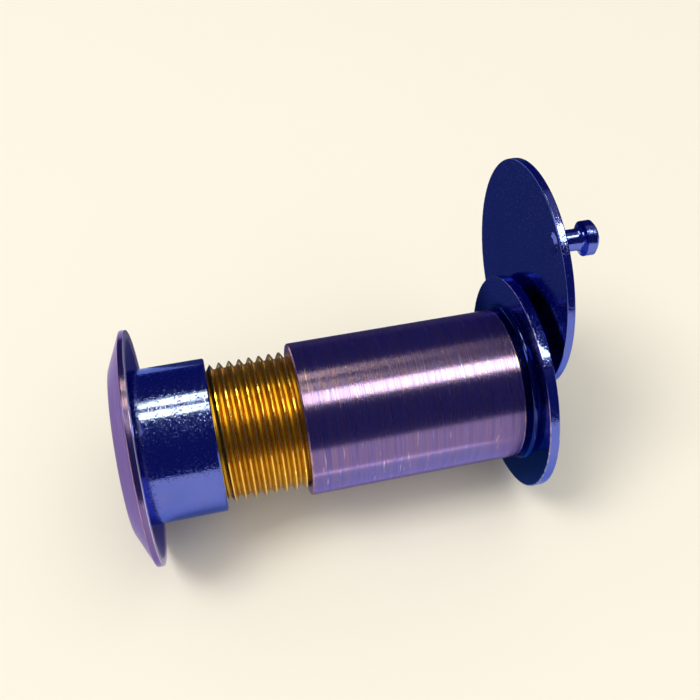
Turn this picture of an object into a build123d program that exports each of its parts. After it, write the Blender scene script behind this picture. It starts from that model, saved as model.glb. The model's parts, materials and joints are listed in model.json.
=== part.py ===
"""Door viewer with a swing cover, lying on its side.

The barrel's axis is X: the outside of the door is towards -X, the room towards +X.
The origin is on that axis, in the plane where the inner flange seats on the door.
Lengths are in millimetres. Turned pieces are outlines of (x, radius), spun about X.
"""
from build123d import *
import os
from math import atan2, cos, degrees, radians, sin, tan

os.makedirs("parts", exist_ok=True)

# ---- the barrel, along its axis ------------------------------------------
GRIP = 37.37            # door thickness that the viewer is set to
TUBE_START = -22.25     # outer end of the inside tube
NECK = 1.04             # bright neck between the brushed tube and the flange
NECK_FILLET = 0.42      # where the neck meets the flange
COLLAR_END = -30.52     # inner end of the smooth collar
BARREL_START = -36.20   # outer end of the screwed barrel, inside the collar
BARREL_END = -11.60     # inner end of the screwed barrel
TUBE_R = 7.69
COLLAR_R = 7.625
BARREL_BORE_R = 5.40
BARREL_PLAIN_R = 6.30   # unthreaded end of the barrel, pressed into the collar

# ---- the screw thread, M14 x 1, right-hand -------------------------------
PITCH = 1.0
MAJOR_R = 6.95
MINOR_R = 6.35
CREST_FLAT = 0.12
FLANK = 30.0            # half angle of the thread form
THREAD_PLAY = 0.10      # radial play, and the play of a ridge in its groove
THREAD_START = COLLAR_END + 0.10      # the thread stops short of the collar
CREST_X = -29.625       # a crest passes this x
CREST_ANGLE = 215.5     # at this angle, counted from +Y towards +Z
HELIX_ANGLE = 90.0      # a helix along X starts on its +Z side
GROOVE_END = -4.60      # inner end of the tube's thread
ENTRY_CHAMFER = 0.45
SPARE = 3.0             # stock beyond the thread, cut off again
LAP = 0.02              # a ridge's foot sinks into its core by this
CLEAR = 0.10            # a cutter or an envelope stands off by this

# ---- the outside head ----------------------------------------------------
HEAD_R = 11.62
HEAD_RIM = 0.61
HEAD_CONE = 1.50
HEAD_FLAT_R = 8.37
HEAD_LIP_R = 6.60
HEAD_BORE_R = 6.32
HEAD_WALL = 0.93
HEAD_LIP_BEVEL = 0.28
HEAD_HOLLOW_R = HEAD_FLAT_R - 0.22    # where the hollow back turns into its cone
RIM_WALL = 0.75
RIM_BEVEL = 0.20        # along the axis; the rim's inner edge
RIM_BEVEL_WIDTH = 0.15
PRESS_LAP = 0.01        # lets two solids of one piece join fully

# ---- the inside flange, its eyepiece and the cover -----------------------
FLANGE_R = 11.02
FLANGE_T = 1.02
SIGHT_R = 4.00
SIGHT_BEVEL = (0.45, 0.55)            # depth and width
HUB_BORE_R = 4.75
HUB_END = -3.20
HUB_STEP = 0.06         # the hub is this much larger than the thread groove
HUB_STOP = -0.10        # the eye lens sits against the flange here
COVER_R = 11.365
COVER_T = 0.78
COVER_GAP = 0.80
PIVOT_ARM = 9.50        # rivet to barrel axis, and rivet to the cover's centre
PIVOT_ANGLE = 11.2      # direction of the rivet, from +Y towards +Z
COVER_ANGLE = 117.5     # direction from the rivet to the cover's centre
KNOB_ARM = 9.80
KNOB_ANGLE = 123.8      # direction from the cover's centre to its knob
RIVET_R = 1.00
RIVET_SINK = 0.40       # depth and width of its countersunk end
RIVET_HEAD_GAP = 0.03   # the head stands off the cover by this
RIVET_HEAD_EDGE = 0.16
RIVET_HEAD_TOP = 0.52
PIVOT_PLAY = 0.05
WASHER_R = 1.50
WASHER_T = 0.22
SPRING_T = 0.16
SPRING_LOW = 0.24       # height of the spring washer's ends above the flange
SPRING_HIGH = 0.60      # and of its middle
SPRING_PLAY = 0.02
KNOB_STEM_R = 1.00
KNOB_HEAD_R = 1.60
KNOB_TENON_R = 0.75
KNOB_STAKE = (0.16, 0.62, 1.02)       # height, end radius, foot radius
KNOB_FLARE = 2.05       # the stem starts to flare here, counted from behind the disc
KNOB_FLARE_MIDDLE = (2.42, 0.15)
KNOB_HEAD_START = 2.70
KNOB_HEAD_END = 3.55
KNOB_TOP = 4.20

# ---- the lenses ----------------------------------------------------------
LENS_PLAY = 0.06
EDGE_BREAK = 0.12

# the cup, with depths counted from the head's face
CUP_BORE_R = 4.50
CUP_MOUTH_R = 6.02
CUP_MOUTH = 0.36
CUP_WAIST_R = 5.44
CUP_WAIST = 0.95
CUP_THROAT_R = 4.22
CUP_THROAT = 1.42
CUP_STEP = 1.60         # the front lens's rim sits against this step
CUP_ROLL = (1.15, 0.32)               # the rounded edge's outer end: depth, width
CUP_ROLL_MIDDLE = (1.23, 0.09)
CUP_PLAY = 0.02

# lens faces: (apex, rim, rim radius). Spacers and rings: (outer end, inner end).
FRONT_FACE = (-38.78, -37.80, 4.12)
FRONT_HOLLOW = (-37.95, -36.40, 3.40)
FRONT_LENS_R = 4.44
SEAL_X = (-36.36, -36.04)
SEAL_R = (3.62, 4.42)
SEAL_ROUND = 0.12
FRONT_SPACER_X = (-36.00, -32.05)
FRONT_SPACER_NOSE = (3.70, 4.42)      # its narrow end bears on the seal
NOSE_LENGTH = 0.40
NOSE_TAPER = 0.80
SPACER_BORE_R = 4.40
STOP_X = (-32.00, -31.60)
STOP_R = (2.20, 2.60)
SECOND_FACE = (-30.95, -31.55, 4.20)
SECOND_HOLLOW = (-30.05, -29.15, 4.20)
MIDDLE_SPACER_X = (-29.10, -16.65)
MIDDLE_SPACER_BORE_R = 4.45
BAFFLES = 11
BAFFLE_STEP = 1.08
BAFFLE_START = 0.80
BAFFLE_WIDTH = 0.60
BAFFLE_BOTTOM_R = 4.80
THIRD_FACE = (-16.60, -15.70, 4.25)
THIRD_BACK = (-13.62, -14.35, 4.10)
RETAINER_X = (-12.30, -14.05)         # slotted end, seated end
RETAINER_R = 5.38
RETAINER_BORE_R = 4.30
RETAINER_BEVEL = (0.40, 0.45)         # depth and width
RETAINER_SLOT = (0.70, 1.00)          # depth and width
EYE_FACE = (-2.05, -1.15, 3.85)
EYE_FRONT = (0.24, -0.12, 3.85)
EYE_LENS_R = 4.70
EYE_RETAINER_X = (-2.70, -1.17)       # slotted end, seated end
EYE_RETAINER_R = (3.95, 4.72)
EYE_RETAINER_BEVEL = (0.30, 0.25)
EYE_SLOT = (0.55, 0.90)
SLOT_SPARE = 0.05       # a slot's cutter starts outside the ring

# ---- worked out ----------------------------------------------------------
OUTER_SEAT = -GRIP
HEAD_FRONT = OUTER_SEAT - HEAD_RIM - HEAD_CONE
HEAD_BACK = HEAD_FRONT + HEAD_WALL
COVER_BACK = FLANGE_T + COVER_GAP
COVER_FRONT = COVER_BACK + COVER_T
GROOVE_R = MAJOR_R + THREAD_PLAY
HUB_R = GROOVE_R + HUB_STEP
TUBE_BORE_R = MINOR_R + THREAD_PLAY
STACK_R = BARREL_BORE_R - LENS_PLAY


def from_point(centre, arm, angle):
    """The (y, z) point that lies an arm away from another, at an angle in degrees."""
    return (
        centre[0] + arm * cos(radians(angle)),
        centre[1] + arm * sin(radians(angle)),
    )


PIVOT = from_point((0, 0), PIVOT_ARM, PIVOT_ANGLE)
COVER = from_point(PIVOT, PIVOT_ARM, COVER_ANGLE)
KNOB = from_point(COVER, KNOB_ARM, KNOB_ANGLE)


def turned(*points):
    """The face inside a closed outline of (x, radius) points."""
    with BuildSketch(Plane.XY) as face:
        with BuildLine():
            Polyline(*points, close=True)
        make_face()
    return face.sketch


def ring(x0, x1, inner, outer):
    """The section of a plain ring between two planes."""
    return turned((x0, inner), (x1, inner), (x1, outer), (x0, outer))


def across(x, centre=(0, 0)):
    """The plane square to the barrel at x. Its own axes are Y and Z."""
    return Plane(origin=(x, centre[0], centre[1]), x_dir=(0, 1, 0), z_dir=(1, 0, 0))


def line_along(centre):
    """The axis parallel to the barrel through a (y, z) point."""
    return Axis((0, centre[0], centre[1]), (1, 0, 0))


def beside(face, centre):
    """A turned piece's section, moved to the line through a (y, z) point."""
    return face.moved(Location((0, centre[0], centre[1])))


def thread_solid(root_r, crest_r, widen, start, end):
    """The ridge of the screw thread, from just before start to end.

    Widened, it is the tool that cuts the matching groove. It stays within the length
    of the core or tube that it is joined to, and both are then cut to length together.
    """
    turn = (HELIX_ANGLE - CREST_ANGLE) / 360
    whole = (start - CREST_X) // PITCH
    first = CREST_X + (turn + whole - 1) * PITCH
    foot = (CREST_FLAT + widen) / 2 + (MAJOR_R - root_r) * tan(radians(FLANK))
    crest = (CREST_FLAT + widen) / 2 + (MAJOR_R - crest_r) * tan(radians(FLANK))
    depth = crest_r - root_r
    with BuildPart() as ridge:
        with BuildLine() as path:
            Helix(PITCH, end - first, root_r, center=(first, 0, 0), direction=(1, 0, 0))
        with BuildSketch(Plane(origin=path.line @ 0, x_dir=(1, 0, 0), z_dir=path.line % 0)):
            with BuildLine():
                Polyline((-foot, 0), (foot, 0), (crest, depth), (-crest, depth), close=True)
            make_face()
        sweep(path=path.line, is_frenet=True)
    return ridge.part


def dome(apex, rim_x, rim_r):
    """The arc of a spherical face, from its apex on the axis to its rim."""
    depth = apex - rim_x
    radius = (rim_r**2 + depth**2) / (2 * abs(depth))
    side = 1 if depth > 0 else -1
    centre = apex - side * radius
    start = 0 if depth > 0 else 180
    end = degrees(atan2(rim_r, rim_x - centre))
    return CenterArc((centre, 0), radius, start, end - start)


def lens(outer, inner, rim_r):
    """The section of a lens, between its two round faces and out to its rim."""
    with BuildSketch(Plane.XY) as face_section:
        with BuildLine():
            face = dome(*outer)
            back = dome(*inner)
            Polyline(back @ 1, (inner[1], rim_r), (outer[1], rim_r), face @ 1)
            Line(face @ 0, back @ 0)
        make_face()
    return face_section.sketch


def bevelled_ring(slotted, seated, inner, outer, bevel):
    """The section of a retaining ring, bevelled inside at its slotted end."""
    depth, width = bevel
    inward = depth if seated > slotted else -depth
    return turned(
        (slotted, outer),
        (seated, outer),
        (seated, inner),
        (slotted + inward, inner),
        (slotted, inner + width),
    )


def save(piece, name):
    """Label a finished piece and write it to its own file."""
    piece.part.label = name
    export_step(piece.part, f"parts/{name}.step")


# ==== the inside half: tube, flange and eyepiece ===========================

# The tube: smooth outside, a long internal thread, a plain seat for the flange's hub.
with BuildPart() as eyepiece_tube:
    revolve(ring(TUBE_START - SPARE, -NECK, TUBE_BORE_R, TUBE_R), axis=Axis.X)
    groove = thread_solid(TUBE_BORE_R - CLEAR / 2, GROOVE_R, THREAD_PLAY, TUBE_START, GROOVE_END)
    add(groove, mode=Mode.SUBTRACT)
    revolve(
        turned(
            (TUBE_START, TUBE_BORE_R + ENTRY_CHAMFER),
            (TUBE_START + ENTRY_CHAMFER, TUBE_BORE_R),
            (TUBE_START + ENTRY_CHAMFER, TUBE_BORE_R - CLEAR),
            (GROOVE_END - PITCH / 2, TUBE_BORE_R - CLEAR),
            (GROOVE_END - PITCH / 2, HUB_R),
            (-NECK, HUB_R),
            (-NECK, TUBE_R),
            (TUBE_START + EDGE_BREAK, TUBE_R),
            (TUBE_START, TUBE_R - EDGE_BREAK),
        ),
        axis=Axis.X,
        mode=Mode.INTERSECT,
    )
save(eyepiece_tube, "eyepiece_tube")

# The flange, with the bright neck behind it and a hub pressed into the tube.
with BuildPart() as inner_flange:
    with BuildSketch(Plane.XY):
        with BuildLine():
            Polyline(
                (-NECK_FILLET, TUBE_R),
                (-NECK, TUBE_R),
                (-NECK, HUB_R),
                (HUB_END, HUB_R),
                (HUB_END, HUB_BORE_R),
                (HUB_STOP, HUB_BORE_R),
                (HUB_STOP, SIGHT_R),
                (FLANGE_T - SIGHT_BEVEL[0], SIGHT_R),
                (FLANGE_T, SIGHT_R + SIGHT_BEVEL[1]),
                (FLANGE_T, FLANGE_R),
                (0, FLANGE_R),
                (0, TUBE_R + NECK_FILLET),
            )
            RadiusArc((0, TUBE_R + NECK_FILLET), (-NECK_FILLET, TUBE_R), -NECK_FILLET)
        make_face()
    revolve(axis=Axis.X)
    rims = inner_flange.edges().filter_by(GeomType.CIRCLE).sort_by(SortBy.RADIUS)[-2:]
    fillet(rims, EDGE_BREAK)
    with BuildSketch(across(0, PIVOT)):
        Circle(RIVET_R)
    extrude(amount=FLANGE_T, mode=Mode.SUBTRACT)
    sink = turned((0, 0), (0, RIVET_R + RIVET_SINK), (RIVET_SINK, RIVET_R), (RIVET_SINK, 0))
    revolve(beside(sink, PIVOT), axis=line_along(PIVOT), mode=Mode.SUBTRACT)
save(inner_flange, "inner_flange")

# The eye lens, a little fatter towards the tube.
with BuildPart() as eyepiece_lens:
    revolve(lens(EYE_FACE, EYE_FRONT, EYE_LENS_R), axis=Axis.X)
save(eyepiece_lens, "eyepiece_lens")

# The slotted ring that holds the eye lens in the hub.
with BuildPart() as eyepiece_retainer:
    section = bevelled_ring(*EYE_RETAINER_X, *EYE_RETAINER_R, EYE_RETAINER_BEVEL)
    revolve(section, axis=Axis.X)
    with BuildSketch(across(EYE_RETAINER_X[0] - SLOT_SPARE)):
        Rectangle(2 * HUB_BORE_R, EYE_SLOT[1])
    extrude(amount=EYE_SLOT[0] + SLOT_SPARE, mode=Mode.SUBTRACT)
save(eyepiece_retainer, "eyepiece_retainer")

# The rivet that the cover swings on: flush behind the flange, domed in front.
with BuildPart() as pivot_rivet:
    with BuildSketch(Plane.XY):
        with BuildLine():
            Polyline(
                (COVER_FRONT + RIVET_HEAD_TOP, 0),
                (0, 0),
                (0, RIVET_R + RIVET_SINK),
                (RIVET_SINK, RIVET_R),
                (COVER_FRONT + RIVET_HEAD_GAP, RIVET_R),
                (COVER_FRONT + RIVET_HEAD_GAP, WASHER_R),
                (COVER_FRONT + RIVET_HEAD_EDGE, WASHER_R),
            )
            dome(COVER_FRONT + RIVET_HEAD_TOP, COVER_FRONT + RIVET_HEAD_EDGE, WASHER_R)
        make_face()
    revolve(axis=Axis.X)
pivot_rivet.part.position = (0, PIVOT[0], PIVOT[1])
save(pivot_rivet, "pivot_rivet")

# The flat washer on the flange.
with BuildPart() as pivot_washer:
    with BuildSketch(across(FLANGE_T, PIVOT)):
        Circle(WASHER_R)
        Circle(RIVET_R + PIVOT_PLAY, mode=Mode.SUBTRACT)
    extrude(amount=WASHER_T)
save(pivot_washer, "pivot_washer")

# The curved spring washer that keeps the cover from swinging on its own.
with BuildPart() as spring_washer:
    with BuildSketch(Plane.XY.offset(PIVOT[1] - WASHER_R)):
        with BuildLine():
            high = ThreePointArc(
                (FLANGE_T + SPRING_LOW, PIVOT[0] - WASHER_R),
                (FLANGE_T + SPRING_HIGH, PIVOT[0]),
                (FLANGE_T + SPRING_LOW, PIVOT[0] + WASHER_R),
            )
            thick = Vector(SPRING_T, 0)
            Line(high @ 1, high @ 1 + thick)
            back = ThreePointArc(high @ 1 + thick, high @ 0.5 + thick, high @ 0 + thick)
            Line(back @ 1, high @ 0)
        make_face()
    extrude(amount=2 * WASHER_R)
    with BuildSketch(across(FLANGE_T, PIVOT)):
        Circle(WASHER_R - SPRING_PLAY)
        Circle(RIVET_R + PIVOT_PLAY, mode=Mode.SUBTRACT)
    extrude(amount=COVER_GAP, mode=Mode.INTERSECT)
save(spring_washer, "spring_washer")


# ==== the cover ===========================================================

# The disc, blanked from sheet, with a hole for the rivet and one for the knob.
with BuildPart() as cover_disc:
    with BuildSketch(across(COVER_BACK, COVER)):
        Circle(COVER_R)
    extrude(amount=COVER_T)
    fillet(cover_disc.edges().filter_by(GeomType.CIRCLE), EDGE_BREAK)
    with BuildSketch(across(COVER_BACK, PIVOT)):
        Circle(RIVET_R + PIVOT_PLAY)
    extrude(amount=COVER_T, mode=Mode.SUBTRACT)
    with BuildSketch(across(COVER_BACK, KNOB)):
        Circle(KNOB_TENON_R)
    extrude(amount=COVER_T, mode=Mode.SUBTRACT)
save(cover_disc, "cover_disc")

# The knob: a short stem that flares into a domed button, staked behind the disc.
with BuildPart() as cover_knob:
    flare = (COVER_BACK + KNOB_FLARE, KNOB_STEM_R)
    middle = (COVER_BACK + KNOB_FLARE_MIDDLE[0], KNOB_STEM_R + KNOB_FLARE_MIDDLE[1])
    head = (COVER_BACK + KNOB_HEAD_START, KNOB_HEAD_R)
    with BuildSketch(Plane.XY):
        with BuildLine():
            Polyline(
                (COVER_BACK + KNOB_TOP, 0),
                (COVER_BACK - KNOB_STAKE[0], 0),
                (COVER_BACK - KNOB_STAKE[0], KNOB_STAKE[1]),
                (COVER_BACK, KNOB_STAKE[2]),
                (COVER_BACK, KNOB_TENON_R),
                (COVER_FRONT, KNOB_TENON_R),
                (COVER_FRONT, KNOB_STEM_R),
                flare,
            )
            ThreePointArc(flare, middle, head)
            Line(head, (COVER_BACK + KNOB_HEAD_END, KNOB_HEAD_R))
            dome(COVER_BACK + KNOB_TOP, COVER_BACK + KNOB_HEAD_END, KNOB_HEAD_R)
        make_face()
    revolve(axis=Axis.X)
cover_knob.part.position = (0, KNOB[0], KNOB[1])
save(cover_knob, "cover_knob")


# ==== the outside half: head, collar and screwed barrel =====================

# The head, a shallow cone of even wall with a flat face and a hollow back.
with BuildPart() as lens_head:
    revolve(
        turned(
            (OUTER_SEAT, HEAD_R),
            (OUTER_SEAT - HEAD_RIM, HEAD_R),
            (HEAD_FRONT, HEAD_FLAT_R),
            (HEAD_FRONT, HEAD_LIP_R),
            (HEAD_FRONT + HEAD_LIP_BEVEL, HEAD_BORE_R),
            (HEAD_BACK, HEAD_BORE_R),
            (HEAD_BACK, HEAD_HOLLOW_R),
            (OUTER_SEAT - RIM_BEVEL, HEAD_R - RIM_WALL - RIM_BEVEL_WIDTH),
            (OUTER_SEAT, HEAD_R - RIM_WALL),
        ),
        axis=Axis.X,
    )
    outer = lens_head.edges().filter_by(GeomType.CIRCLE).sort_by(SortBy.RADIUS)[-2:]
    fillet(outer, EDGE_BREAK)
save(lens_head, "lens_head")

# The smooth collar between the head and the thread.
with BuildPart() as lens_collar:
    revolve(ring(HEAD_BACK, COLLAR_END, HEAD_BORE_R, COLLAR_R), axis=Axis.X)
    sleeve = ring(BARREL_START, COLLAR_END, BARREL_PLAIN_R, HEAD_BORE_R + PRESS_LAP)
    revolve(sleeve, axis=Axis.X)
    last = lens_collar.edges().filter_by(GeomType.CIRCLE).group_by(Axis.X)[-1]
    chamfer(last.sort_by(SortBy.RADIUS)[-1], EDGE_BREAK)
save(lens_collar, "lens_collar")

# The brass barrel: a plain end inside the collar, then the long outside thread.
with BuildPart() as threaded_barrel:
    core = ring(BARREL_START, BARREL_END + SPARE, BARREL_BORE_R, MINOR_R + LAP)
    revolve(core, axis=Axis.X)
    add(thread_solid(MINOR_R - LAP, MAJOR_R, 0, THREAD_START, BARREL_END + PITCH))
    revolve(
        turned(
            (BARREL_START, 0),
            (BARREL_START, BARREL_PLAIN_R),
            (THREAD_START, BARREL_PLAIN_R),
            (THREAD_START, MINOR_R),
            (THREAD_START + ENTRY_CHAMFER, MAJOR_R + CLEAR / 2),
            (BARREL_END - 2 * ENTRY_CHAMFER, MAJOR_R + CLEAR / 2),
            (BARREL_END, MINOR_R - CLEAR),
            (BARREL_END, 0),
        ),
        axis=Axis.X,
        mode=Mode.INTERSECT,
    )
save(threaded_barrel, "threaded_barrel")

# The dark cup that funnels in from the head's face to the front lens.
with BuildPart() as lens_cup:
    mouth = (HEAD_FRONT + CUP_MOUTH, CUP_MOUTH_R)
    waist = (HEAD_FRONT + CUP_WAIST, CUP_WAIST_R)
    roll = (HEAD_FRONT + CUP_ROLL[0], CUP_THROAT_R + CUP_ROLL[1])
    middle = (HEAD_FRONT + CUP_ROLL_MIDDLE[0], CUP_THROAT_R + CUP_ROLL_MIDDLE[1])
    throat = (HEAD_FRONT + CUP_THROAT, CUP_THROAT_R)
    with BuildSketch(Plane.XY):
        with BuildLine():
            Polyline(
                mouth,
                (HEAD_FRONT + CUP_MOUTH, HEAD_BORE_R - CUP_PLAY),
                (BARREL_START, HEAD_BORE_R - CUP_PLAY),
                (BARREL_START, CUP_BORE_R),
                (HEAD_FRONT + CUP_STEP, CUP_BORE_R),
                (HEAD_FRONT + CUP_STEP, CUP_THROAT_R),
                throat,
            )
            ThreePointArc(throat, middle, roll)
            ThreePointArc(roll, waist, mouth)
        make_face()
    revolve(axis=Axis.X)
save(lens_cup, "lens_cup")

# The slotted ring that holds the lens stack in the barrel.
with BuildPart() as lens_retainer:
    section = bevelled_ring(*RETAINER_X, RETAINER_BORE_R, RETAINER_R, RETAINER_BEVEL)
    revolve(section, axis=Axis.X)
    with BuildSketch(across(RETAINER_X[0] - RETAINER_SLOT[0])):
        Rectangle(2 * BARREL_BORE_R, RETAINER_SLOT[1])
    extrude(amount=RETAINER_SLOT[0] + SLOT_SPARE, mode=Mode.SUBTRACT)
save(lens_retainer, "lens_retainer")


# ==== the lens stack ======================================================

# The front lens: a domed face, and a deep hollow behind that gives the wide view.
with BuildPart() as front_lens:
    revolve(lens(FRONT_FACE, FRONT_HOLLOW, FRONT_LENS_R), axis=Axis.X)
save(front_lens, "front_lens")

# The soft ring behind the front lens keeps rain out.
with BuildPart() as front_lens_seal:
    revolve(ring(*SEAL_X, *SEAL_R), axis=Axis.X)
    fillet(front_lens_seal.edges().filter_by(GeomType.CIRCLE), SEAL_ROUND)
save(front_lens_seal, "front_lens_seal")

# The spacer between the seal and the aperture stop.
with BuildPart() as front_spacer:
    start, end = FRONT_SPACER_X
    revolve(
        turned(
            (start, FRONT_SPACER_NOSE[0]),
            (start, FRONT_SPACER_NOSE[1]),
            (start + NOSE_LENGTH, STACK_R),
            (end, STACK_R),
            (end, SPACER_BORE_R),
            (start + NOSE_TAPER, SPACER_BORE_R),
        ),
        axis=Axis.X,
    )
save(front_spacer, "front_spacer")

# The aperture stop, a thin blackened disc.
with BuildPart() as aperture_stop:
    start, end = STOP_X
    revolve(
        turned((start, STOP_R[0]), (start, STACK_R), (end, STACK_R), (end, STOP_R[1])),
        axis=Axis.X,
    )
save(aperture_stop, "aperture_stop")

# The second lens, hollow on both faces.
with BuildPart() as second_lens:
    revolve(lens(SECOND_FACE, SECOND_HOLLOW, STACK_R), axis=Axis.X)
save(second_lens, "second_lens")

# The long spacer, grooved inside so that it doesn't glint.
with BuildPart() as middle_spacer:
    revolve(ring(*MIDDLE_SPACER_X, MIDDLE_SPACER_BORE_R, STACK_R), axis=Axis.X)
    for baffle in range(BAFFLES):
        left = MIDDLE_SPACER_X[0] + BAFFLE_START + baffle * BAFFLE_STEP
        revolve(
            turned(
                (left, SPACER_BORE_R),
                (left + BAFFLE_WIDTH, SPACER_BORE_R),
                (left + BAFFLE_WIDTH / 2, BAFFLE_BOTTOM_R),
            ),
            axis=Axis.X,
            mode=Mode.SUBTRACT,
        )
save(middle_spacer, "middle_spacer")

# The third lens, which turns the bundle towards the eye lens.
with BuildPart() as third_lens:
    revolve(lens(THIRD_FACE, THIRD_BACK, STACK_R), axis=Axis.X)
save(third_lens, "third_lens")
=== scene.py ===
import json
from math import pi, radians

import bpy
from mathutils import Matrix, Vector


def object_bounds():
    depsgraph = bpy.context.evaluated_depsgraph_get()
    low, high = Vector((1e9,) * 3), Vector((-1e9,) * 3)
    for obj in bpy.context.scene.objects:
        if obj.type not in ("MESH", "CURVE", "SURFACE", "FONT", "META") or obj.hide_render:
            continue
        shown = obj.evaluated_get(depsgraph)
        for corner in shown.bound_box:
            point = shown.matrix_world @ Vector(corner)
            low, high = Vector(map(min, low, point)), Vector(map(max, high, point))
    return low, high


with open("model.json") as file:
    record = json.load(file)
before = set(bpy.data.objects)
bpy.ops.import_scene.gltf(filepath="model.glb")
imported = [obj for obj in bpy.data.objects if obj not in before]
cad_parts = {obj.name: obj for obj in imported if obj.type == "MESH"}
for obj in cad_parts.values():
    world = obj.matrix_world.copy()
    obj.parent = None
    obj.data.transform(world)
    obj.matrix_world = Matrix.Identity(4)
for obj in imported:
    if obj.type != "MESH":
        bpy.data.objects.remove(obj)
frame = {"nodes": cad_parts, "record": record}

CAD_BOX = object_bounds()
MM = 0.001

scene = bpy.context.scene
nodes = frame["nodes"]

# A mix node has these sockets for colours and for numbers.
MIX_COLOUR_IN = (6, 7)
MIX_COLOUR_OUT = 2
MIX_NUMBER_IN = (2, 3)
MIX_NUMBER_OUT = 0


# ---- camera ---------------------------------------------------------------
# The camera looks down on the lying viewer, a little towards its inside end.
CAMERA_PLACE = (-0.02997, -0.05871, 0.06997)
CAMERA_TURN = (44.26, 0.42, -13.06)     # degrees
CAMERA_LENS = 46.68                     # millimetres, on the sensor's width
CAMERA_SENSOR = 36.0
CAMERA_SHIFT_Y = 0.0043
CAMERA_NEAR = 0.005


def make_camera():
    data = bpy.data.cameras.new("camera")
    data.lens = CAMERA_LENS
    data.sensor_width = CAMERA_SENSOR
    data.clip_start = CAMERA_NEAR
    data.shift_y = CAMERA_SHIFT_Y
    camera = bpy.data.objects.new("camera", data)
    camera.location = CAMERA_PLACE
    camera.rotation_euler = [radians(angle) for angle in CAMERA_TURN]
    scene.collection.objects.link(camera)
    scene.camera = camera


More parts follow.
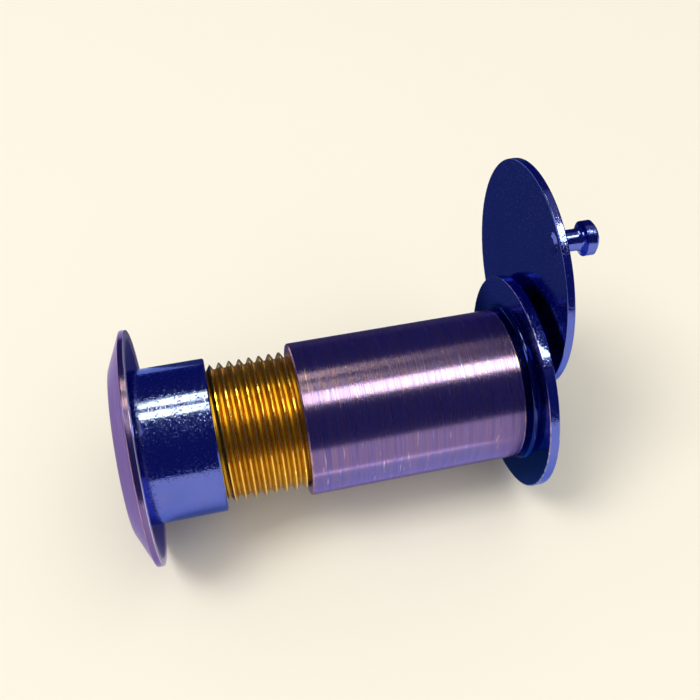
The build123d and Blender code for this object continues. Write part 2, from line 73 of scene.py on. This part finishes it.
# ---- node helpers ----------------------------------------------------------
class Nodes:
    """A short way to write a material's node tree."""

    def __init__(self, name):
        self.material = bpy.data.materials.new(name)
        self.material.use_nodes = True
        self.tree = self.material.node_tree
        self.shader = self.tree.nodes["Principled BSDF"]

    def add(self, kind, **settings):
        node = self.tree.nodes.new(kind)
        for key, value in settings.items():
            setattr(node, key, value)
        return node

    def link(self, source, target):
        self.tree.links.new(source, target)

    def feed(self, value, socket):
        """Puts a number or colour on a socket, or links an output to it."""
        if isinstance(value, bpy.types.NodeSocket):
            self.link(value, socket)
        else:
            socket.default_value = value

    def set(self, **values):
        """Feeds the shader's sockets, named with _ for each space."""
        for key, value in values.items():
            if isinstance(value, tuple):
                value = (*value, 1.0)
            self.feed(value, self.shader.inputs[key.replace("_", " ")])

    # -- numbers --
    def math(self, operation, a, b=0.0):
        node = self.add("ShaderNodeMath", operation=operation)
        for value, socket in zip((a, b), node.inputs):
            self.feed(value, socket)
        return node.outputs[0]

    def remap(self, value, low, high, to_low, to_high):
        """Maps low..high onto to_low..to_high, and stays there outside it."""
        node = self.add("ShaderNodeMapRange", clamp=True)
        self.feed(value, node.inputs["Value"])
        for socket, number in zip(
            ("From Min", "From Max", "To Min", "To Max"), (low, high, to_low, to_high)
        ):
            node.inputs[socket].default_value = number
        return node.outputs["Result"]

    def rise(self, value, low, high):
        """From 0 to 1 while a value in metres passes between two in millimetres."""
        return self.remap(value, low * MM, high * MM, 0.0, 1.0)

    def fall(self, value, low, high):
        """From 1 to 0 while a value in metres passes between two in millimetres."""
        return self.remap(value, low * MM, high * MM, 1.0, 0.0)

    def between(self, value, low, high, blur):
        """1 where a value in metres lies between two in millimetres, 0 outside."""
        up = self.rise(value, low - blur, low + blur)
        down = self.fall(value, high - blur, high + blur)
        return self.math("MULTIPLY", up, down)

    def mix_number(self, factor, a, b):
        node = self.add("ShaderNodeMix", data_type="FLOAT")
        self.feed(factor, node.inputs["Factor"])
        for value, socket in zip((a, b), MIX_NUMBER_IN):
            self.feed(value, node.inputs[socket])
        return node.outputs[MIX_NUMBER_OUT]

    # -- places --
    def place(self):
        """The object's own coordinates, in metres."""
        return self.add("ShaderNodeTexCoord").outputs["Object"]

    def split(self, vector):
        node = self.add("ShaderNodeSeparateXYZ")
        self.link(vector, node.inputs[0])
        return node.outputs

    def around_barrel(self):
        """Distance along the barrel, radius from its axis, and the direction round it."""
        x, y, z = self.split(self.place())
        radius = self.math("SQRT", self.math("ADD", self.math("MULTIPLY", y, y),
                                             self.math("MULTIPLY", z, z)))
        safe = self.math("MAXIMUM", radius, 1e-5)
        return x, radius, self.math("DIVIDE", y, safe), self.math("DIVIDE", z, safe)

    def stretched(self, along, direction, per_metre, per_turn):
        """Noise coordinates for lines that run round the barrel."""
        node = self.add("ShaderNodeCombineXYZ")
        scales = (per_metre, per_turn, per_turn)
        for value, scale, socket in zip((along, *direction), scales, node.inputs):
            self.link(self.math("MULTIPLY", value, scale), socket)
        return node.outputs[0]

    # -- patterns --
    def noise(self, vector, scale, detail, roughness=0.55):
        node = self.add("ShaderNodeTexNoise")
        self.link(vector, node.inputs["Vector"])
        node.inputs["Scale"].default_value = scale
        node.inputs["Detail"].default_value = detail
        node.inputs["Roughness"].default_value = roughness
        return node.outputs["Fac"]

    def dots(self, vector, scale, share, size):
        """Small separate round dots, 1 in the middle; a share of the cells has one."""
        node = self.add("ShaderNodeTexVoronoi")
        self.link(vector, node.inputs["Vector"])
        node.inputs["Scale"].default_value = scale
        chosen = self.math("LESS_THAN", self.split(node.outputs["Color"])[0], share)
        return self.math("MULTIPLY", chosen,
                         self.remap(node.outputs["Distance"], 0.0, size, 1.0, 0.0))

    def bump(self, height, distance, strength):
        node = self.add("ShaderNodeBump")
        node.inputs["Strength"].default_value = strength
        node.inputs["Distance"].default_value = distance
        self.link(height, node.inputs["Height"])
        self.link(node.outputs["Normal"], self.shader.inputs["Normal"])

    # -- colours --
    def ramp(self, value, stops):
        node = self.add("ShaderNodeValToRGB")
        self.link(value, node.inputs["Fac"])
        ramp = node.color_ramp
        while len(ramp.elements) < len(stops):
            ramp.elements.new(0.5)
        for element, (position, colour) in zip(ramp.elements, stops):
            element.position = position
            element.color = (*colour, 1.0)
        return node.outputs["Color"]

    def mix(self, factor, a, b):
        node = self.add("ShaderNodeMix", data_type="RGBA")
        self.feed(factor, node.inputs["Factor"])
        for value, socket in zip((a, b), MIX_COLOUR_IN):
            if isinstance(value, tuple):
                value = (*value, 1.0)
            self.feed(value, node.inputs[socket])
        return node.outputs[MIX_COLOUR_OUT]


# ---- materials --------------------------------------------------------------
# In the tables below:
#   noises are features a metre, octaves and, where it isn't the usual, roughness;
#   shares are what a noise is mapped from, low and high, and to, low and high;
#   places are millimetres in the viewer's own frame: low, high and, for a band, blur;
#   bumps are the full height in metres and the strength.

# Dark plate: the collar, the flange with its neck, the cover and its knob
PLATE_BLUES = ((0.105, 0.145, 0.56), (0.145, 0.185, 0.68))
PLATE_THIN = (0.26, 0.17, 0.42)
# painted shade colour for the neck and the flange's lower back
PLATE_SHADE = (0.008, 0.014, 0.11)
# colour of the rubbed flange edges, partly a painted glint
PLATE_RUBBED_GLINT = (0.62, 0.47, 0.62)
PLATE_TINT = (0.45, 0.55, 1.0)
PLATE_CLOUD = (300, 3)
PLATE_PITS = (5200, 3, 0.6)
PLATE_PEEL = (2300, 2)
PLATE_WEAR = (620, 4, 0.65)
PLATE_SCUFF = (1500, 3, 0.7)
PLATE_DOTS = (5200, 0.34, 0.55)         # cells a metre, share with a dot, its size
THIN_SHARE = (0.56, 0.76, 0.0, 0.22)
SCUFF_SHARE = (0.42, 0.62, 0.0, 1.0)
SHADE_SHARE = 0.97
RUBBED_GLINT_SHARE = 0.8
PLATE_ROUGHNESS = (0.45, 0.75, 0.085, 0.32)
PLATE_DOT_HEIGHT = 2.2                  # in parts of the bump's height
PLATE_PEEL_HEIGHT = 0.35
PLATE_BUMP = (0.000006, 0.6)
SHADE_X = (-1.2, 0.05, 0.03)              # painted shade on the neck and the flange's back
SHADE_Z = (2.0, 6.5)                      # painted shade below this height
SHADE_RADIUS = (7.9, 8.6)                 # painted shade inside this radius
FLANGE_RIM = (10.86, 10.98)
FLANGE_EDGES = ((-0.1, 0.10, 0.04), (0.92, 1.1, 0.04))


def plated():
    """Smooth dark plating with a blue cast: specks, faint orange peel, rubbed edges that also
    carry a painted glint, and painted shade on the neck and the flange's lower back.
    """
    n = Nodes("dark_plate")
    place = n.place()
    x, _, z = n.split(place)
    radius = n.around_barrel()[1]
    colour = n.mix(n.noise(place, *PLATE_CLOUD), *PLATE_BLUES)
    # purple where the plating is thin
    thin = n.remap(n.noise(place, *PLATE_WEAR), *THIN_SHARE)
    colour = n.mix(thin, colour, PLATE_THIN)
    # painted shade: the neck and the lower back of the flange are darkened
    shaded_places = n.math("MAXIMUM", n.fall(z, *SHADE_Z), n.fall(radius, *SHADE_RADIUS))
    painted_shade = n.math("MULTIPLY", n.between(x, *SHADE_X), shaded_places)
    colour = n.mix(n.math("MULTIPLY", painted_shade, SHADE_SHARE), colour, PLATE_SHADE)
    # rubbed edges of the flange, paler also as a painted glint
    edges = n.math("MAXIMUM", *(n.between(x, *edge) for edge in FLANGE_EDGES))
    scuff = n.remap(n.noise(place, *PLATE_SCUFF), *SCUFF_SHARE)
    rub_and_glint = n.math("MULTIPLY", n.math("MULTIPLY", n.rise(radius, *FLANGE_RIM), edges), scuff)
    colour = n.mix(n.math("MULTIPLY", rub_and_glint, RUBBED_GLINT_SHARE), colour, PLATE_RUBBED_GLINT)
    pits = n.noise(place, *PLATE_PITS)
    n.set(Base_Color=colour, Metallic=1.0, Roughness=n.remap(pits, *PLATE_ROUGHNESS),
          Specular_Tint=PLATE_TINT)
    specks = n.math("MULTIPLY", n.dots(place, *PLATE_DOTS), PLATE_DOT_HEIGHT)
    peel = n.math("MULTIPLY", n.noise(place, *PLATE_PEEL), PLATE_PEEL_HEIGHT)
    n.bump(n.math("ADD", specks, peel), *PLATE_BUMP)
    return n.material


# Brushed copper: the inside tube and the outside head
COPPER_LINES = ((0.30, (0.103, 0.073, 0.27)), (0.52, (0.172, 0.132, 0.41)),
                (0.72, (0.26, 0.195, 0.51)))
COPPER_BAND = (0.25, 0.155, 0.31)
COPPER_STAIN = (0.13, 0.08, 0.17)
COPPER_SCRATCH = (0.60, 0.43, 0.60)
COPPER_RING = ((0.145, 0.053, 0.095), (0.36, 0.165, 0.235))
# bare copper for worn edges, partly a painted glint on the tube's ends and the head's edge
COPPER_BARE_GLINT = (0.78, 0.46, 0.42)
COPPER_TINT = (0.66, 0.58, 1.0)
HOLLOW_BLUE = (0.105, 0.15, 0.56)
LIP_PALE = (0.56, 0.52, 0.80)
SLOPE = 1.7                             # lines are this much closer up a radius
LINE_STRETCH = (15000, 0.9)             # a metre along, round the barrel
SCRATCH_STRETCH = (5200, 2.6)
FINE_LINES = (1.0, 5, 0.7)
BROAD_LINES = (0.11, 3, 0.6)
SCRATCHES = (1.0, 2)
COPPER_CLOUD = (170, 4)
EDGE_WEAR_AND_GLINT = (900, 4, 0.7)
RING_WEAR = (330, 4, 0.6)
COPPER_SPECKS = (7500, 1)
BAND_SHARE = (0.36, 0.68, 0.0, 0.75)
STAIN_SHARE = (0.5, 0.8, 0.0, 0.35)
SCRATCH_SHARE = (0.66, 0.72, 0.0, 0.6)
EDGE_SHARE = (0.36, 0.60, 0.15, 0.8)
RING_EDGE_SHARE = (0.35, 0.62, 0.15, 0.65)
RING_LINES = (0.35, 0.65, 0.0, 1.0)
RING_FACING = (-0.97, -0.99, 0.0, 0.75)     # by the X part of the surface's direction
HOLLOW_FACING = (0.15, 0.35, 0.0, 1.0)
SPECK_SHARE = (0.60, 0.72, 0.0, 1.0)
COPPER_ROUGHNESS = (0.3, 0.7, 0.30, 0.19)
HOLLOW_ROUGHNESS = 0.12
COPPER_METALLIC = 0.96
LIP_METALLIC = 0.55
BRUSHED = 0.8                           # how much a highlight spreads across the lines
ACROSS_LINES = 0.25                     # of a turn from the tangent round X
COPPER_SCRATCH_HEIGHT = 0.5             # in parts of the bump's height
COPPER_SPECK_HEIGHT = 0.5
COPPER_BUMP = (0.000007, 0.55)
TUBE_EDGES = ((-1.17, -0.9, 0.03), (-22.4, -22.12, 0.04))
HEAD_EDGE = (11.48, 11.585, 0.02)           # radius
RING_X = (-38.9, -38.7)
RING_EDGES = ((8.29, 8.46, 0.06), (6.52, 6.64, 0.04))      # radii
HOLLOW_X = (-37.0, -36.6)
LIP_RADIUS = (10.66, 10.80)


def brushed_copper():
    """Antique copper, brushed in fine lines round the barrel's axis."""
    n = Nodes("brushed_copper")
    place = n.place()
    x, radius, *direction = n.around_barrel()
    along = n.math("ADD", x, n.math("MULTIPLY", radius, SLOPE))
    lines = n.stretched(along, direction, *LINE_STRETCH)
    fine = n.noise(lines, *FINE_LINES)
    colour = n.ramp(fine, COPPER_LINES)
    colour = n.mix(n.remap(n.noise(lines, *BROAD_LINES), *BAND_SHARE), colour, COPPER_BAND)
    colour = n.mix(n.remap(n.noise(place, *COPPER_CLOUD), *STAIN_SHARE), colour, COPPER_STAIN)
    # single deeper scratches
    scratch = n.noise(n.stretched(along, direction, *SCRATCH_STRETCH), *SCRATCHES)
    colour = n.mix(n.remap(scratch, *SCRATCH_SHARE), colour, COPPER_SCRATCH)
    # the flat ring round the lens is redder
    facing = n.split(n.add("ShaderNodeTexCoord").outputs["Normal"])[0]
    front = n.fall(x, *RING_X)
    ring = n.math("MULTIPLY", n.remap(facing, *RING_FACING), front)
    colour = n.mix(ring, colour, n.mix(n.remap(fine, *RING_LINES), *COPPER_RING))
    # bare copper along the worn edges of the tube, the head and its ring; on the tube's ends
    # and the head's edge it is partly a painted glint
    edge = n.math("MAXIMUM", *(n.between(x, *band) for band in TUBE_EDGES))
    edge = n.math("MAXIMUM", edge, n.between(radius, *HEAD_EDGE))
    edge = n.math("MULTIPLY", edge, n.remap(n.noise(place, *EDGE_WEAR_AND_GLINT), *EDGE_SHARE))
    bare = n.math("MAXIMUM", *(n.between(radius, *band) for band in RING_EDGES))
    bare = n.math("MULTIPLY", bare, n.remap(n.noise(place, *RING_WEAR), *RING_EDGE_SHARE))
    edge = n.math("MAXIMUM", edge, n.math("MULTIPLY", bare, front))
    colour = n.mix(edge, colour, COPPER_BARE_GLINT)
    # the hollow back of the head is plated dark blue, with a pale lip
    hollow = n.math("MULTIPLY", n.remap(facing, *HOLLOW_FACING), n.fall(x, *HOLLOW_X))
    lip = n.math("MULTIPLY", hollow, n.rise(radius, *LIP_RADIUS))
    colour = n.mix(hollow, colour, HOLLOW_BLUE)
    colour = n.mix(lip, colour, LIP_PALE)
    roughness = n.mix_number(hollow, n.remap(fine, *COPPER_ROUGHNESS), HOLLOW_ROUGHNESS)
    n.set(Base_Color=colour, Roughness=roughness,
          Metallic=n.remap(lip, 0.0, 1.0, COPPER_METALLIC, LIP_METALLIC),
          Anisotropic=BRUSHED, Anisotropic_Rotation=ACROSS_LINES, Specular_Tint=COPPER_TINT)
    tangent = n.add("ShaderNodeTangent", direction_type="RADIAL", axis="X")
    n.link(tangent.outputs[0], n.shader.inputs["Tangent"])
    specks = n.remap(n.noise(place, *COPPER_SPECKS), *SPECK_SHARE)
    height = n.math("ADD", fine, n.math("MULTIPLY", scratch, COPPER_SCRATCH_HEIGHT))
    height = n.math("ADD", height, n.math("MULTIPLY", specks, COPPER_SPECK_HEIGHT))
    n.bump(height, *COPPER_BUMP)
    return n.material


# Bare brass: the screwed barrel
BRASS_YELLOWS = ((0.77, 0.47, 0.042), (0.67, 0.35, 0.022))
BRASS_STAIN = (0.42, 0.17, 0.02)
# painted shade colour for the thread's roots
BRASS_ROOT_SHADE = (0.30, 0.13, 0.015)
# painted highlight colour for the thread's crests
BRASS_CREST_HIGHLIGHT = (0.90, 0.62, 0.14)
BRASS_CLOUD = (420, 4)
BRASS_SPOTS = (1400, 4, 0.7)
BRASS_CLOUD_SHARE = (0.35, 0.7, 0.0, 1.0)
BRASS_STAIN_SHARE = (0.5, 0.7, 0.0, 0.5)
BRASS_ROOT_SHADE_SHARE = 0.35
BRASS_METALLIC = 0.97
BRASS_ROUGHNESS = (0.0, 1.0, 0.17, 0.36)    # from the crest to the root
BRASS_STRETCH = (9000, 2.0)
BRASS_LINES = (1.0, 3)
BRASS_BUMP = (0.000006, 0.5)
THREAD_ROOT = (6.36, 6.90)              # radii
THREAD_CREST = (6.84, 6.93)


def bare_brass():
    """Turned brass, with painted shade in the thread's roots and a painted highlight on its
    crests.
    """
    n = Nodes("bare_brass")
    place = n.place()
    x, radius, *direction = n.around_barrel()
    root = n.fall(radius, *THREAD_ROOT)
    cloud = n.remap(n.noise(place, *BRASS_CLOUD), *BRASS_CLOUD_SHARE)
    colour = n.mix(cloud, *BRASS_YELLOWS)
    stain = n.remap(n.noise(place, *BRASS_SPOTS), *BRASS_STAIN_SHARE)
    colour = n.mix(stain, colour, BRASS_STAIN)
    # painted shade darkens the thread's roots
    colour = n.mix(n.math("MULTIPLY", root, BRASS_ROOT_SHADE_SHARE), colour, BRASS_ROOT_SHADE)
    # painted highlight along the thread's crests
    colour = n.mix(n.rise(radius, *THREAD_CREST), colour, BRASS_CREST_HIGHLIGHT)
    n.set(Base_Color=colour, Metallic=BRASS_METALLIC,
          Roughness=n.remap(root, *BRASS_ROUGHNESS))
    lines = n.stretched(x, direction, *BRASS_STRETCH)
    n.bump(n.noise(lines, *BRASS_LINES), *BRASS_BUMP)
    return n.material


# Grainy finishes: two colours and a roughness that follow one noise, and a bump
BLACKS = ((0.005, 0.006, 0.011), (0.011, 0.013, 0.021))
BLACK_GRAIN = (9000, 2)
BLACK_ROUGHNESS = (0.3, 0.7, 0.42, 0.6)
BLACK_BUMP = (0.000001, 0.3)
STEEL_GREYS = ((0.35, 0.35, 0.40), (0.62, 0.62, 0.66))
STEEL_SCRATCH = (2600, 4, 0.7)
STEEL_ROUGHNESS = (0.3, 0.7, 0.22, 0.40)
RUBBER_GREYS = ((0.012, 0.012, 0.014), (0.028, 0.028, 0.032))
RUBBER_GRAIN = (7000, 2)
RUBBER_ROUGHNESS = (0.3, 0.7, 0.6, 0.8)
RUBBER_BUMP = (0.00001, 0.4)


def grainy(name, colours, pattern, roughness, bump=None, metallic=0.0):
    n = Nodes(name)
    grain = n.noise(n.place(), *pattern)
    n.set(Base_Color=n.mix(grain, *colours), Metallic=metallic,
          Roughness=n.remap(grain, *roughness))
    if bump:
        n.bump(grain, *bump)
    return n.material


def black_anodised():
    return grainy("black_anodised", BLACKS, BLACK_GRAIN, BLACK_ROUGHNESS, BLACK_BUMP)


def spring_steel():
    return grainy("spring_steel", STEEL_GREYS, STEEL_SCRATCH, STEEL_ROUGHNESS, metallic=1.0)


def seal_rubber():
    return grainy("seal_rubber", RUBBER_GREYS, RUBBER_GRAIN, RUBBER_ROUGHNESS, RUBBER_BUMP)


# The funnel round the front lens
CUP_BLUES = ((0.004, 0.020, 0.075), (0.006, 0.050, 0.120))
CUP_TINT = (0.20, 0.42, 1.0)
CUP_CLOUD = (220, 3)
CUP_GRAIN = (9000, 2)
CUP_ROUGHNESS = (0.3, 0.7, 0.20, 0.32)
CUP_COAT = 0.10
CUP_COAT_ROUGHNESS = 0.12
CUP_BUMP = (0.000004, 0.3)


def cup_blue():
    """Dark blue-green satin plastic."""
    n = Nodes("cup_blue")
    place = n.place()
    grain = n.noise(place, *CUP_GRAIN)
    n.set(Base_Color=n.mix(n.noise(place, *CUP_CLOUD), *CUP_BLUES),
          Roughness=n.remap(grain, *CUP_ROUGHNESS), Specular_Tint=CUP_TINT,
          Coat_Weight=CUP_COAT, Coat_Roughness=CUP_COAT_ROUGHNESS)
    n.bump(grain, *CUP_BUMP)
    return n.material


# The lenses
GLASS_BLUES = ((0.34, 0.56, 0.86), (0.46, 0.68, 0.94))
GLASS_TINT = (0.22, 0.42, 1.0)
GLASS_DUST = (900, 3)
GLASS_ROUGHNESS = (0.60, 0.80, 0.0, 0.05)
GLASS_IOR = 1.52


def lens_glass():
    """Polished glass with a thin blue coating, and a little dust."""
    n = Nodes("lens_glass")
    dust = n.noise(n.place(), *GLASS_DUST)
    n.set(Base_Color=n.mix(dust, *GLASS_BLUES), Roughness=n.remap(dust, *GLASS_ROUGHNESS),
          Specular_Tint=GLASS_TINT, Transmission_Weight=1.0, IOR=GLASS_IOR)
    return n.material


FINISHES = {
    "brushed_copper": brushed_copper,
    "dark_plate": plated,
    "bare_brass": bare_brass,
    "black_anodised": black_anodised,
    "cup_blue": cup_blue,
    "spring_steel": spring_steel,
    "seal_rubber": seal_rubber,
    "lens_glass": lens_glass,
}


def finish_nodes():
    made = {slot: make() for slot, make in FINISHES.items()}
    for entry in frame["record"]["subparts"]:
        mesh = nodes[entry["node"]].data
        mesh.materials.clear()
        mesh.materials.append(made[entry["material_slot"]])


# ---- floor ------------------------------------------------------------------
PAPER = (0.965, 0.905, 0.76)
PAPER_FLECK = tuple(0.992 * part for part in PAPER)
PAPER_NOISE = (60, 3)
PAPER_ROUGHNESS = 0.9
FLOOR_Z = CAD_BOX[0][2]
FLOOR_REACH = 0.8
# Behind the viewer, reflections see a dim card for paper, except to the right of the
# viewer and near it.
DIM_X = -0.0378
DIM_Y = 0.002
BRIGHT_X = 0.004
BRIGHT_Y = 0.030
DIM_GLOW = (0.085, 0.09, 0.14)
UNDER_PAPER = -0.0005
OVER_PAPER = 0.0001
PAPER_SHEETS = (
    # name, x, y, whether reflections see it
    ("floor_near", (-FLOOR_REACH, FLOOR_REACH), (-FLOOR_REACH, DIM_Y), True),
    ("floor_left", (-FLOOR_REACH, DIM_X), (DIM_Y, FLOOR_REACH), True),
    ("floor_right", (BRIGHT_X, FLOOR_REACH), (DIM_Y, BRIGHT_Y), True),
    ("floor_behind", (DIM_X, BRIGHT_X), (DIM_Y, BRIGHT_Y), False),
    ("floor_far", (DIM_X, FLOOR_REACH), (BRIGHT_Y, FLOOR_REACH), False),
)
CARDS = (
    # name, x, y, height over the paper, glow
    ("dim_card", (DIM_X, FLOOR_REACH), (DIM_Y, FLOOR_REACH), UNDER_PAPER, DIM_GLOW),
    # the barrel mirrors the paper beside it cooler, up to a bright line
    ("blue_card", (-0.0215, 0.0), (-0.0185, -0.006), OVER_PAPER, (0.84, 1.0, 0.91)),
    ("line_card", (-0.024, 0.0), (-0.0203, -0.0189), OVER_PAPER, (3.6, 3.3, 2.6)),
)


def flat_sheet(name, x, y, z, material):
    """A level stage rectangle between two x and two y values, in metres."""
    mesh = bpy.data.meshes.new(name)
    mesh.from_pydata(
        [(x[0], y[0], z), (x[1], y[0], z), (x[1], y[1], z), (x[0], y[1], z)],
        [], [(0, 1, 2, 3)],
    )
    mesh.materials.append(material)
    sheet = bpy.data.objects.new(name, mesh)
    scene.collection.objects.link(sheet)
    return sheet


def glow(name, colour):
    """A plain emitting material, for cards that only reflections see."""
    material = bpy.data.materials.new(name)
    material.use_nodes = True
    tree = material.node_tree
    tree.nodes.remove(tree.nodes["Principled BSDF"])
    emission = tree.nodes.new("ShaderNodeEmission")
    emission.inputs["Color"].default_value = (*colour, 1.0)
    tree.links.new(emission.outputs[0], tree.nodes["Material Output"].inputs["Surface"])
    return material


def make_floor():
    """Pale paper, and the cards that only reflections see."""
    n = Nodes("paper")
    fleck = n.noise(n.place(), *PAPER_NOISE)
    n.set(Base_Color=n.mix(fleck, PAPER, PAPER_FLECK), Roughness=PAPER_ROUGHNESS,
          Specular_IOR_Level=0.0)
    for name, x, y, mirrored in PAPER_SHEETS:
        flat_sheet(name, x, y, FLOOR_Z, n.material).visible_glossy = mirrored
    for name, x, y, height, colour in CARDS:
        card = flat_sheet(name, x, y, FLOOR_Z + height, glow(name, colour))
        card.visible_camera = card.visible_diffuse = card.visible_shadow = False


# ---- light ------------------------------------------------------------------
NIGHT = (0.022, 0.028, 0.13)            # what reflections see beyond the floor and lights
SKYLIGHT = (0.41, 0.41, 0.41)           # what lights matt surfaces from all round
STRIP_Z = 0.40
STRIP_RADIANCE = 14.0
GLINT_RADIANCE = 0.25
COLLAR_TURN = -14                       # degrees
COLLAR_GOLD = (0.86, 0.80, 0.29)
TUBE_GOLD = (1.0, 0.98, 0.52)
GLINT_PINK = (1.0, 0.82, 0.68)
STRIPS = (
    # name, x and y, size, turn, radiance, colour
    ("collar_strip", (-0.056, 0.024), (0.060, 0.070), COLLAR_TURN, STRIP_RADIANCE, COLLAR_GOLD),
    ("collar_strip_2", (-0.042, 0.150), (0.060, 0.085), COLLAR_TURN, STRIP_RADIANCE,
     COLLAR_GOLD),
    ("tube_strip", (0.098, -0.102), (0.156, 0.126), 0, STRIP_RADIANCE, TUBE_GOLD),
    ("pink_strip", (0.15, 0.12), (0.13, 0.26), 0, GLINT_RADIANCE, GLINT_PINK),
)
MIDDLE = (-0.02, 0, 0)
HEAD = (-0.039, 0, 0)
AIMED = (
    # name, place, size, radiance, aim, the kind of ray that doesn't see it
    # a panel before the lens end, mirrored by the head's face
    ("face_panel", (-0.385, 0.03, 0.29), (0.13, 0.10), 6.0, HEAD, "diffuse"),
    # soft light on the paper, from the upper left
    ("paper_key", (-0.66, -0.16, 1.10), (0.5, 0.5), 8.0, MIDDLE, "glossy"),
    ("paper_fill", (-0.05, -0.5, 1.3), (2.0, 2.0), 0.90, MIDDLE, "glossy"),
)


def area_light(name, place, size, radiance, unseen_by):
    """A rectangular light of a given radiance, shining down."""
    data = bpy.data.lights.new(name, "AREA")
    data.shape = "RECTANGLE"
    data.size, data.size_y = size
    data.energy = radiance * size[0] * size[1] * pi
    light = bpy.data.objects.new(name, data)
    light.location = place
    setattr(light, f"visible_{unseen_by}", False)
    scene.collection.objects.link(light)
    return light


def by_ray(tree, kind, colour, otherwise):
    """A colour for one kind of ray, and another colour or output for the rest."""
    rays = tree.nodes.new("ShaderNodeLightPath")
    choice = tree.nodes.new("ShaderNodeMix")
    choice.data_type = "RGBA"
    tree.links.new(rays.outputs[kind], choice.inputs["Factor"])
    first, second = (choice.inputs[socket] for socket in MIX_COLOUR_IN)
    if isinstance(otherwise, tuple):
        first.default_value = (*otherwise, 1.0)
    else:
        tree.links.new(otherwise, first)
    second.default_value = (*colour, 1.0)
    return choice.outputs[MIX_COLOUR_OUT]


def make_light():
    world = bpy.data.worlds.new("studio")
    world.use_nodes = True
    tree = world.node_tree
    sky = by_ray(tree, "Is Diffuse Ray", SKYLIGHT, NIGHT)
    sky = by_ray(tree, "Is Camera Ray", PAPER, sky)
    tree.links.new(sky, tree.nodes["Background"].inputs["Color"])
    scene.world = world
    scene.view_settings.view_transform = "Standard"
    # level strips that the barrel mirrors as bright bands
    for name, place, size, turn, radiance, colour in STRIPS:
        strip = area_light(name, (*place, STRIP_Z), size, radiance, "diffuse")
        strip.rotation_euler = (0, 0, radians(turn))
        strip.data.color = colour
    for name, place, size, radiance, aim, unseen_by in AIMED:
        light = area_light(name, place, size, radiance, unseen_by)
        way = Vector(aim) - Vector(place)
        light.rotation_euler = way.to_track_quat("-Z", "Y").to_euler()


make_camera()
finish_nodes()
make_floor()
make_light()
